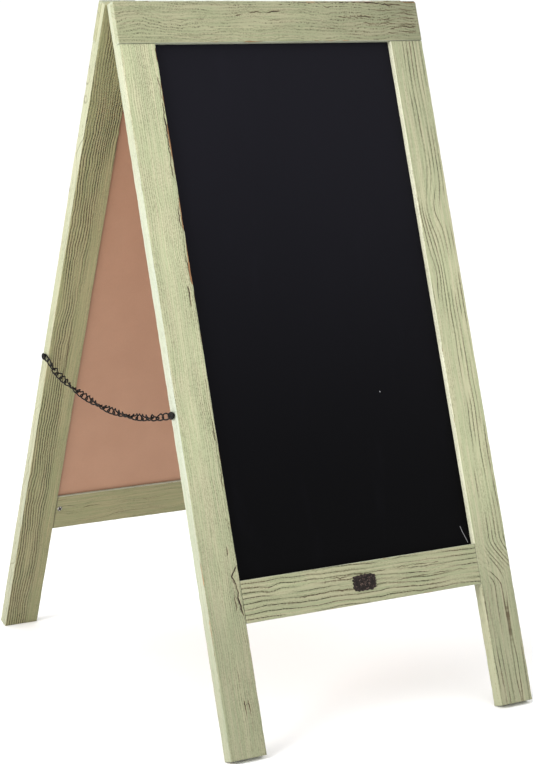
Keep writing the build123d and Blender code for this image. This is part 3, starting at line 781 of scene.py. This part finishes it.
member(
    "back_right_stile", painted_wood("paint_back_right", 8.0, dashes=0.5, darkness=0.75, tint=BACK_SHADE_TINT),
    seed=81, row_step=2.2, ring=3.6, wave=1.3, pith=steady(20.8361, 12.5084, 0.01, 0.03),
    strength=even(0.75), knots=((620, 24, 40, 12, 6.0),), wear=(("A", 420, 640, 0.8, 2.2),),
)


# ---------------- boards
def chalk_material():
    """Matt black coating, lighter towards the top: a painted reflection of the light from above.
    Faintly wiped, with dust, a speck and a hair scratch.
    """
    g = Graph("chalk_black")
    board = g.vector("board")
    down = g.split(board)[1]
    sheen_cloud = g.noise(g.stretch(board, (3.0, 2.0, 1.0)), 3.0, 0.55)
    wiped = g.noise(g.stretch(board, (26.0, 5.0, 1.0)), 4.0, 0.6, distortion=0.4)
    dust = g.noise(g.stretch(board, (900.0, 900.0, 1.0)), 2.0, 0.6)
    # painted reflection of the light from above: lighter towards the top, unevenly
    level = g.calc("POWER", down.ramp(0.80, 0.02), 1.25) * 0.0078 + 0.0008
    level = level * (sheen_cloud * 0.36 + 0.82)
    level = level + wiped.ramp(0.55, 0.8) * 0.0012 + dust.ramp(0.66, 0.8) * 0.0025
    colour = g.join(level * 0.91, level * 0.88, level * 1.26)
    colour = g.mix(g.number("chalk_marks").ramp(0.35, 0.8), colour, (0.34, 0.34, 0.35))
    rough = (wiped - 0.5) * 0.22 + 0.52
    return g.finish(colour, rough, dust * 0.5 + sheen_cloud * 0.4, 0.00006, specular=0.045)


def hardboard_material():
    g = Graph("hardboard_brown")
    board = g.vector("board")
    down = g.split(board)[1]
    cloud = g.noise(g.stretch(board, (14, 14, 1)), 3.0, 0.6)
    fibre = g.noise(g.stretch(board, (420, 300, 1)), 3.0, 0.7, distortion=0.6)
    fleck = g.node("ShaderNodeTexVoronoi", {"Vector": g.stretch(board, (260, 200, 1)), "Scale": 1.0})
    colour = g.mix(cloud.ramp(0.30, 0.70), (0.452, 0.257, 0.167), (0.478, 0.275, 0.180))
    colour = g.scale_colour(colour, fibre * 0.14 + 0.92)
    # painted shade: darker towards the bottom
    colour = g.scale_colour(colour, down.ramp(0.10, 0.72, 1.04, 0.86))
    colour = g.mix(fleck.ramp(0.16, 0.05) * 0.35, colour, (0.33, 0.17, 0.10))
    colour = g.mix(g.number("edge_shade") * 0.65, colour, (0.13, 0.07, 0.04))
    rough = (fibre - 0.5) * 0.2 + 0.66
    return g.finish(colour, rough, fibre * 0.8 + cloud * 0.2, 0.00012, specular=0.3)


SHEET_EDGE = 0.15
MARK_ROOM, MARK_STEP = 3, 0.35


def board_piece(name, node, material, step, bow, seed, marks=()):
    """A thin sheet with eased edges and a surface that is not quite flat. marks are (points, half width)."""
    panel = node.split("_")[0]
    lo, hi = extent(panel, node)
    marks = [(np.array(points) + (0.0, top_edge), half) for points, half in marks]
    sides = []
    for k in (0, 1):
        count = round((hi[k] - lo[k]) / step)
        flat = np.linspace(lo[k] + SHEET_EDGE, hi[k] - SHEET_EDGE, count)
        side = np.concatenate([[lo[k]], flat, [hi[k]]])
        for points, _ in marks:
            around = np.arange(points[:, k].min() - MARK_ROOM, points[:, k].max() + MARK_ROOM, MARK_STEP)
            side = np.union1d(side, around)
        sides.append(side)
    X, Y = np.meshgrid(*sides)

    def from_edge(low, high):
        return np.minimum.reduce([X - low[0], high[0] - X, Y - low[1], high[1] - Y])

    drop = np.where(from_edge(lo, hi) < SHEET_EDGE / 2, SHEET_EDGE, 0.0)
    front = hi[2] - drop - bow * (0.5 + 0.5 * Waves(seed, 160, 160)(X, Y))
    both_x, both_y = np.tile(X.ravel(), 2), np.tile(Y.ravel(), 2)
    out = np.concatenate([front.ravel(), (lo[2] + drop).ravel()])
    rows, cols = X.shape
    ids = np.arange(X.size).reshape(rows, cols)
    rim = np.concatenate([ids[0, :-1], ids[:-1, -1], ids[-1, :0:-1], ids[:0:-1, 0]])
    after = np.roll(rim, -1)
    faces = [grid_faces(rows, cols), grid_faces(rows, cols, X.size)[:, ::-1]]
    faces.append(np.stack([after, rim, rim + X.size, after + X.size], -1))
    chalk = np.zeros(X.shape)
    for points, half in marks:
        for a, b in zip(points[:-1], points[1:]):
            d = b - a
            f = np.clip(((X - a[0]) * d[0] + (Y - a[1]) * d[1]) / (d @ d), 0, 1)
            chalk = np.maximum(chalk, bump(np.hypot(X - a[0] - f * d[0], Y - a[1] - f * d[1]), half))
    around = ("left_stile", "right_stile", "top_rail", "bottom_rail")
    left, right, upper, lower = (extent(panel, f"{panel}_{place}") for place in around)
    inside = from_edge((left[1][0], upper[1][1]), (right[0][0], lower[0][1]))
    shade = np.exp(-np.clip(inside, 0, 99) / 2.2).ravel()
    attributes = {
        "board": np.stack([both_x, both_y - lo[1], out - lo[2]], -1) * MM,
        "chalk_marks": np.concatenate([chalk.ravel(), np.zeros(X.size)]),
        "edge_shade": np.concatenate([shade, shade]),
    }
    points = to_world(panel, np.stack([both_x, both_y, out], -1))
    add_piece(name, f"{panel}_panel", material, node, points, faces, attributes)


chalk_black = chalk_material()
hardboard_brown = hardboard_material()
SPECK = (((82.0, 563.6), (82.6, 564.4)), 0.75)
HAIR = (((180.5, 768), (183.0, 776), (186.5, 784), (189.5, 792)), 0.42)
BACK_SMEAR = (((-60.0, 300), (-52.0, 303), (-40.0, 302)), 0.5)
for panel, seed, marks in (("front", 101, (SPECK, HAIR)), ("back", 102, (BACK_SMEAR,))):
    node = f"{panel}_chalk_sheet"
    board_piece(f"{panel}_chalk_face", node, chalk_black, 6.0, 0.10, seed, marks)
for panel, seed in (("front", 103), ("back", 104)):
    board_piece(f"{panel}_hardboard", f"{panel}_backer_board", hardboard_brown, 4.0, 0.02, seed)


# ---------------- metal and dowels
def black_steel_material():
    g = Graph("blackened_steel")
    patch = g.noise(g.spot(), 3.0, 0.6, 420.0)
    grit = g.noise(g.spot(), 2.0, 0.6, 2600.0)
    colour = g.mix(patch.ramp(0.35, 0.65), (0.0035, 0.003, 0.0028), (0.009, 0.0075, 0.0065))
    colour = g.mix(patch.ramp(0.56, 0.70) * 0.30, colour, (0.070, 0.052, 0.042))
    return g.finish(colour, patch * 0.25 + 0.46, grit * 0.5 + patch * 0.5, 0.00012, specular=0.14)


def zinc_material():
    g = Graph("zinc_plate")
    brushed = g.noise(g.stretch(g.spot(), (60, 2400, 2400)), 3.0, 0.6)
    stain = g.noise(g.spot(), 4.0, 0.6, 130.0).ramp(0.55, 0.72)
    recess_shade = g.number("recess_shade")
    colour = g.mix(brushed.ramp(0.35, 0.65), (0.40, 0.39, 0.37), (0.56, 0.55, 0.53))
    colour = g.mix(stain * 0.6, colour, (0.22, 0.17, 0.11))
    # painted shade in the cross recesses of the screw heads
    colour = g.mix(recess_shade, colour, (0.012, 0.010, 0.008))
    rough = brushed * 0.18 + 0.26 + stain * 0.25
    return g.finish(colour, rough, brushed, 0.00006, metallic=0.92 - recess_shade * 0.9)


def bronze_material():
    g = Graph("antique_bronze")
    mottle = g.noise(g.spot(), 4.0, 0.65, 900.0)
    rubbed = (g.number("raised") + (mottle - 0.5) * 1.1).ramp(0.62, 0.92)
    colour = g.mix(mottle.ramp(0.4, 0.62), (0.006, 0.004, 0.0035), (0.020, 0.013, 0.010))
    colour = g.mix(rubbed * 0.80, colour, (0.26, 0.175, 0.145))
    return g.finish(colour, 0.60 - rubbed * 0.22, mottle, 0.00018, metallic=0.15, specular=0.25)


def dowel_material():
    g = Graph("beech_dowel")
    fibre = g.noise(g.stretch(g.spot(), (700, 700, 90)), 3.0, 0.6)
    fleck = g.noise(g.spot(), 2.0, 0.5, 1500.0)
    colour = g.mix(fibre.ramp(0.35, 0.65), (0.52, 0.34, 0.18), (0.68, 0.49, 0.29))
    colour = g.mix(fleck.ramp(0.6, 0.7) * 0.5, colour, (0.32, 0.18, 0.09))
    return g.finish(colour, fibre * 0.2 + 0.55, fibre, 0.00015)


black_steel = black_steel_material()
zinc_plate = zinc_material()
bronze = bronze_material()
beech = dowel_material()


def turned(profile, around, shaped=None):
    """A lathe shape: profile is (radius, height) from one end of the axis to the other."""
    profile = np.array(profile)
    angle = np.broadcast_to(2 * np.pi * np.arange(around) / around, (len(profile), around))
    r, h = (profile[:, k : k + 1] + 0 * angle for k in (0, 1))
    if shaped:
        r, h = shaped(r, h, angle)
    points = np.stack([r * np.cos(angle), r * np.sin(angle), h], -1).reshape(-1, 3)
    ends = [[0, 0, h[0].mean()], [0, 0, h[-1].mean()]]
    return np.concatenate([points, ends]), capped(len(profile), around, len(points), len(points) + 1)


def placed(shape, origin, axis, spin=0.0):
    """A shape in mm along +Z, spun about its own axis, then stood along axis at a point in metres."""
    points, faces = shape
    c, s = math.cos(spin), math.sin(spin)
    z = np.array(axis, float)
    x = np.cross((0.0, 0.0, 1.0), z)
    x /= np.linalg.norm(x)
    spun = points @ np.array([[c, s, 0], [-s, c, 0], [0, 0, 1.0]])
    return np.array(origin) + (spun * MM) @ np.array([x, np.cross(z, x), z]), faces


THREAD_PITCH, THREAD_STEP = 1.25, 0.15


def screw_shape(radius, length, head_radius, head_height, bare_shank):
    """A pan-head wood screw along +Z from its tip at -length to the crown of its head, in mm."""
    taper = 2.2 * radius
    thread = [(0.02, -length)]
    for k in range(1, int((length - bare_shank) / THREAD_STEP)):
        thread.append((radius * min(1.0, k * THREAD_STEP / taper), k * THREAD_STEP - length))
    shank = [(radius * 0.98, 0.2 - bare_shank), (radius, 0.5 - bare_shank), (radius, -0.3), (radius, -0.02)]
    head = [(head_radius - 0.25, 0.0), (head_radius - 0.05, 0.08), (head_radius, 0.3 * head_height)]
    for k in range(1, 15):
        a = math.radians(88 * k / 14)
        head.append((head_radius * math.cos(a) ** 0.8, head_height * (0.3 + 0.7 * math.sin(a))))
    profile = thread + shank + head
    row = np.arange(len(profile))[:, None]
    threaded, on_dome = row < len(thread), row > len(thread + shank) + 3

    def shaped(r, h, angle):
        turn = (h / THREAD_PITCH + angle / (2 * np.pi)) % 1.0
        full = np.clip((h + length) / taper, 0, 1)
        r = np.where(threaded, r * 0.80 + 0.24 * radius * bump(turn - 0.5, 0.16) * full, r)
        x, y = r * np.cos(angle), r * np.sin(angle)
        arm, reach = 0.17 * head_radius, 0.66 * head_radius
        deep = 0.55 * head_height * (1 - 0.5 * np.hypot(x, y) / reach)
        return r, h - np.where(on_dome & in_cross(x, y, arm, reach), deep, 0.0)

    return turned(profile, 44, shaped)


def in_cross(x, y, arm, reach):
    x, y = np.abs(x), np.abs(y)
    return ((x < arm) & (y < reach)) | ((y < arm) & (x < reach))


# the screw at each end of the chain, its axis the first or last link's pivot, and the corner screws
CHAIN_HEAD = 2.2
CHAIN_SCREW_RADIUS, CORNER_SCREW_RADIUS = 1.75, 1.5
for panel, joint_end in (("front", "chain_1"), ("back", "chain_7")):
    node = f"{panel}_chain_screw"
    lo, hi = (np.array(v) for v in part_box(node))
    seat = lo[0] + CHAIN_HEAD * MM
    stands_out = (MID[0] + extent(panel, f"{panel}_left_stile")[0][0] * MM - seat) / MM
    head_radius = (hi[2] - lo[2]) / 2 / MM
    shape = screw_shape(CHAIN_SCREW_RADIUS, (hi[0] - seat) / MM, head_radius, CHAIN_HEAD, stands_out + 2.0)
    pivot = axis_point(f"{joint_end}_bend")
    points, faces = placed(shape, (seat, pivot[1], pivot[2]), (-1, 0, 0), 0.9 * WAY[panel])
    add_piece(f"{node}_body", f"{panel}_panel", black_steel, node, points, faces)
    # corner screws in the inner face of the bottom rail
    node = f"{panel}_corner_screws"
    lo, hi = extent(panel, node)
    inner = extent(panel, f"{panel}_bottom_rail")[0][2]
    head_radius = (hi[1] - lo[1]) / 2
    shape = screw_shape(CORNER_SCREW_RADIUS, hi[2] - inner, head_radius, inner - lo[2], 1.0)
    parts = []
    for x in (lo[0] + head_radius, hi[0] - head_radius):
        origin = to_world(panel, np.array([x, (lo[1] + hi[1]) / 2, inner]))
        parts.append(placed(shape, origin, -panel_axes(panel)[2], 0.62))
    points, faces = join_parts(parts)
    x, y, h = shape[0].T
    # painted shade for the cross recess in each screw head
    dark = in_cross(x, y, 0.30 * head_radius, 0.92 * head_radius) & (h > 0.02)
    attributes = {"recess_shade": np.tile(dark.astype(float), 2)}
    name = f"{panel}_corner_screw_pair"
    add_piece(name, f"{panel}_panel", zinc_plate, node, points, faces, attributes)


# ---------------- chain: twisted curb links
LINK_HALF, LINK_BREADTH, LINK_TWIST, WIRE = 7.98, 4.35, 2.2, 1.0
HALF_TURNS = 5  # from one end of the chain to the other
COUNTS = (6, 7, 1, 1, 1, 7, 6)
SPREADING_LINKS = 3.0  # links over which it swings out from the wood
AROUND_WIRE, ALONG_WIRE = 14, 56
SIDE_ROOM = 0.15  # between a link and the stile's side
LINK_PLAY, SCREW_ROOM = 0.25, CHAIN_SCREW_RADIUS + 0.16
PITCH = float(np.linalg.norm(axis_point("chain_4_bend") - axis_point("chain_5_bend"))) / MM


def link_shape(twist, wear_seed):
    """A link along X, in mm, its wire as a closed tube."""
    t = 2 * np.pi * np.arange(ALONG_WIRE) / ALONG_WIRE
    path = np.stack([LINK_HALF * np.cos(t), LINK_BREADTH * np.sin(t), twist * np.sin(2 * t)], -1)
    tangent = np.roll(path, -1, 0) - np.roll(path, 1, 0)
    tangent /= np.linalg.norm(tangent, axis=1)[:, None]
    outward = path * np.array([1.0, 1.0, 0.0])
    outward -= (outward * tangent).sum(1)[:, None] * tangent
    outward /= np.linalg.norm(outward, axis=1)[:, None]
    side = np.cross(tangent, outward)
    a = (2 * np.pi * np.arange(AROUND_WIRE) / AROUND_WIRE)[None, :, None]
    radius = WIRE * (1 + 0.03 * np.sin(3 * t + wear_seed))[:, None, None]
    ring = np.cos(a) * outward[:, None] + np.sin(a) * side[:, None]
    points = (path[:, None] + radius * ring).reshape(-1, 3)
    return points, [grid_faces(ALONG_WIRE + 1, AROUND_WIRE, closed=True) % len(points)]


def hanging(lengths, start, end):
    """Slope of every link of a chain hung between two (y, z) points, as in the CAD chain."""
    numbers = np.arange(len(lengths))
    run, rise = end - start

    def halve(low, high, test):
        for _ in range(60):
            mid = (low + high) / 2
            low, high = (mid, high) if test(mid) else (low, mid)
        return (low + high) / 2

    def slopes(lowest, step):
        return np.arctan(step * (numbers - lowest))

    def step_for(lowest):
        return halve(0.0, 1.0, lambda step: (lengths * np.cos(slopes(lowest, step))).sum() > run)

    def too_high(lowest):
        return (lengths * np.sin(slopes(lowest, step_for(lowest)))).sum() > rise

    lowest = halve(0.0, len(lengths) - 1.0, too_high)
    return slopes(lowest, step_for(lowest))


total = sum(COUNTS)
side_x = MID[0] / MM + extent("front", "front_left_stile")[0][0]
close_x, far_x = axis_point("chain_1_bend")[0] / MM, axis_point("chain_2_bend")[0] / MM
from_end = np.minimum(np.arange(total + 1), total - np.arange(total + 1)) - 1
joint_x = close_x + np.clip(from_end / SPREADING_LINKS, 0, 1) * (far_x - close_x)
lengths = np.full(total, PITCH)
lengths[[0, -1]] = PITCH + LINK_PLAY / 2 - SCREW_ROOM
flat_lengths = np.sqrt(lengths**2 - np.diff(joint_x) ** 2)
at = axis_point("chain_1_bend")[1:] / MM
angles = hanging(flat_lengths, at, axis_point("chain_7_bend")[1:] / MM)
links = []
for number, (length, slope) in enumerate(zip(flat_lengths, angles)):
    swing = joint_x[number + 1] - joint_x[number]
    step = np.array([swing, length * math.cos(slope), length * math.sin(slope)])
    along = step / lengths[number]
    upright = np.array([0.0, -math.sin(slope), math.cos(slope)])
    middle = lengths[number] - PITCH / 2 if number == 0 else PITCH / 2
    centre = np.array([joint_x[number], *at]) + middle * along
    at = at + step[1:]
    # the first and last links lie flat against the screws; between them the chain twists slowly
    eased = number + 0.30 * math.sin(0.9 * number) * (0 < number < total - 1)
    roll = -HALF_TURNS * math.pi * eased / (total - 1)
    # near the screws the links lie flatter, so that they clear the stile when the easel is folded
    room = abs(joint_x[number] + swing / 2 - side_x) - SIDE_ROOM
    if abs(swing) > 0.01:
        flatness = min(1.0, max(room - 0.8 * LINK_TWIST, 0.0) / (LINK_BREADTH + WIRE))
        whole_turns = round(roll / math.pi) * math.pi
        most = math.asin(flatness)
        roll = whole_turns + min(max(roll - whole_turns, -most), most)
    twist = min(LINK_TWIST, 0.6 * max(room - 1.03 * WIRE, 0.0))
    across = math.cos(roll) * upright + math.sin(roll) * np.cross(upright, along)
    points, faces = link_shape(twist, number)
    links.append(((centre + points @ np.array([along, across, np.cross(along, across)])) * MM, faces))
for number, count in enumerate(COUNTS, start=1):
    node = f"chain_{number}"
    points, faces = join_parts(links[:count])
    del links[:count]
    add_piece(f"{node}_links", node, black_steel, node, points, faces)


# ---------------- badge: blank relief plate and its pins
PLATE_EDGE = 0.7  # the plate's own height under its relief
PIN_RADIUS, PIN_RIM = 1.4, 0.95


def badge_piece():
    lo, hi = extent("front", "badge_plate")
    cx, cy = (lo[0] + hi[0]) / 2, (lo[1] + hi[1]) / 2
    a, b = (hi[0] - lo[0]) / 2, (hi[1] - lo[1]) / 2
    around, rings = 288, 46
    angle = 2 * np.pi * np.arange(around) / around
    c, s = np.cos(angle), np.sin(angle)
    squareness = 4.6
    base = (np.abs(c) ** squareness + np.abs(s) ** squareness) ** (-1 / squareness)
    ragged = Waves(7, 1.1, 1.1, 14)
    scallop = 0.945 + 0.038 * np.cos(18 * angle + 0.8 * np.sin(3 * angle)) + 0.022 * ragged(3 * c, 3 * s)
    outline = base * np.minimum(scallop, 1.0)
    R = np.repeat(np.linspace(0.0, 1.0, rings + 1)[1:, None], around, 1)
    X, Y = R * outline * c * a, R * outline * s * b
    swirl, leaf = Waves(8, 6.5, 6.5, 16), Waves(9, 3.6, 3.6, 14)
    scroll = np.abs(swirl(X + 1.6 * leaf(X, Y), Y))
    boss = smooth(1.12 - np.hypot(X / (0.60 * a), Y / (0.47 * b)), 0, 0.14)
    bead = 0.5 + 0.5 * np.cos(40 * angle)[None]
    relief = 0.30 + 0.42 * bump(R - 0.90, 0.055) * (0.72 + 0.28 * bead) + 0.10 * bump(R - 0.76, 0.03)
    relief += (1 - boss) * smooth(0.86 - R, 0, 0.08) * 0.42 * smooth(0.55 - scroll, 0, 0.4)
    relief += boss * (0.16 + 0.22 * leaf(X * 1.3, Y * 1.3) + 0.10 * smooth(0.4 - scroll, 0, 0.3))
    relief *= 1 - smooth(R, 0.95, 1.0) * 0.85
    height = np.clip(relief, 0.05, 1.0) * (hi[2] - lo[2] - PLATE_EDGE)
    height += 0.9 * PLATE_EDGE * smooth(1.0 - R, 0.0, 0.01)
    plate = np.stack([cx + X, cy + Y, lo[2] + height], -1).reshape(-1, 3)
    edge = np.stack([cx + X[-1] * 0.995, cy + Y[-1] * 0.995, np.full(around, lo[2])], -1)
    points = np.concatenate([plate, edge, [[cx, cy, lo[2] + height[0].mean()], [cx, cy, lo[2]]]])
    raised = np.clip(relief, 0, 1)
    tone = {"raised": np.concatenate([raised.ravel(), np.zeros(around), [raised[0].mean(), 0.0]])}
    faces = capped(rings + 1, around, len(points) - 2, len(points) - 1)
    points = to_world("front", points)
    add_piece("badge_relief", "front_panel", bronze, "badge_plate", points, faces, tone)


def badge_pins():
    lo, hi = extent("front", "badge_pins")
    face = extent("front", "badge_plate")[0][2] - hi[2]
    profile = [(0.02, face - 0.4), (0.7, face - 0.4), (0.7, face + 0.9), (PIN_RADIUS, face + PIN_RIM)]
    for degrees in range(10, 90, 8):
        a = math.radians(degrees)
        profile.append((PIN_RADIUS * math.cos(a), PIN_RIM + face - (face + PIN_RIM) * math.sin(a)))
    parts = []
    for x in (lo[0] + PIN_RADIUS, hi[0] - PIN_RADIUS):
        origin = to_world("front", np.array([x, (lo[1] + hi[1]) / 2, hi[2]]))
        parts.append(placed(turned(profile, 28), origin, panel_axes("front")[2]))
    points, faces = join_parts(parts)
    tone = {"raised": np.full(len(points), 0.45)}
    add_piece("badge_pin_pair", "front_panel", bronze, "badge_pins", points, faces, tone)


badge_piece()
badge_pins()

# ---------------- hinges and dowels: CAD nodes shown as they are
for name, node in frame["nodes"].items():
    if not node.hide_render:
        material, slot = (zinc_plate, "zinc_steel") if "hinge" in name else (beech, "dowel_wood")
        node.data.materials.clear()
        node.data.materials.append(material)


# ---------------- stage, light and camera
def floor_material():
    g = Graph("floor_pale")
    cloud = g.noise(g.spot(), scale=1.3)
    return g.finish(g.mix(cloud, (0.94, 0.94, 0.94), (0.96, 0.96, 0.96)), 0.9, specular=0.1)


FLOOR_HALF = 60
floor_mesh = bpy.data.meshes.new("floor")
corners = [(x * FLOOR_HALF, y * FLOOR_HALF, 0) for x, y in ((-1, -1), (1, -1), (1, 1), (-1, 1))]
floor_mesh.from_pydata(corners, [], [(0, 1, 2, 3)])
floor_mesh.materials.append(floor_material())
floor = bpy.data.objects.new("floor", floor_mesh)
bpy.context.scene.collection.objects.link(floor)

world = bpy.data.worlds.new("studio")
bpy.context.scene.world = world
world.use_nodes = True
background = world.node_tree.nodes["Background"].inputs
background["Color"].default_value = (1.0, 1.0, 1.0, 1.0)
background["Strength"].default_value = 1.12

LAMP_AT, LAMP_AIM = Vector((-4.2, -0.9, 2.6)), Vector((0.0, 0.0, 0.5))
lamp_data = bpy.data.lights.new("key", "AREA")
lamp_data.shape, lamp_data.size, lamp_data.energy = "DISK", 2.6, 190.0
lamp = bpy.data.objects.new("key", lamp_data)
lamp.location = LAMP_AT
lamp.rotation_euler = (LAMP_AIM - LAMP_AT).to_track_quat("-Z", "Y").to_euler()
bpy.context.scene.collection.objects.link(lamp)

EYE = Vector((MID[0] - 1.65458, -2.67843, 1.05025))
YAW, PITCH_ANGLE, TILT = math.radians(31.95), math.radians(-11.20), math.radians(0.88)
LENS = 103.49
level = math.cos(PITCH_ANGLE)
ahead = Vector((math.sin(YAW) * level, math.cos(YAW) * level, math.sin(PITCH_ANGLE)))
right = Vector((math.cos(YAW), -math.sin(YAW), 0.0))
above = right.cross(ahead)
right_tilted = right * math.cos(TILT) + above * math.sin(TILT)
above_tilted = above * math.cos(TILT) - right * math.sin(TILT)
camera_data = bpy.data.cameras.new("camera")
camera_data.sensor_width = 36.0
camera_data.lens = LENS
camera_data.clip_start, camera_data.clip_end = 0.05, 200.0
camera = bpy.data.objects.new("camera", camera_data)
turned_to = Matrix((right_tilted, above_tilted, -ahead)).transposed().to_4x4()
camera.matrix_world = Matrix.Translation(EYE) @ turned_to
bpy.context.scene.collection.objects.link(camera)
bpy.context.scene.camera = camera
bpy.context.scene.view_settings.view_transform = "Standard"
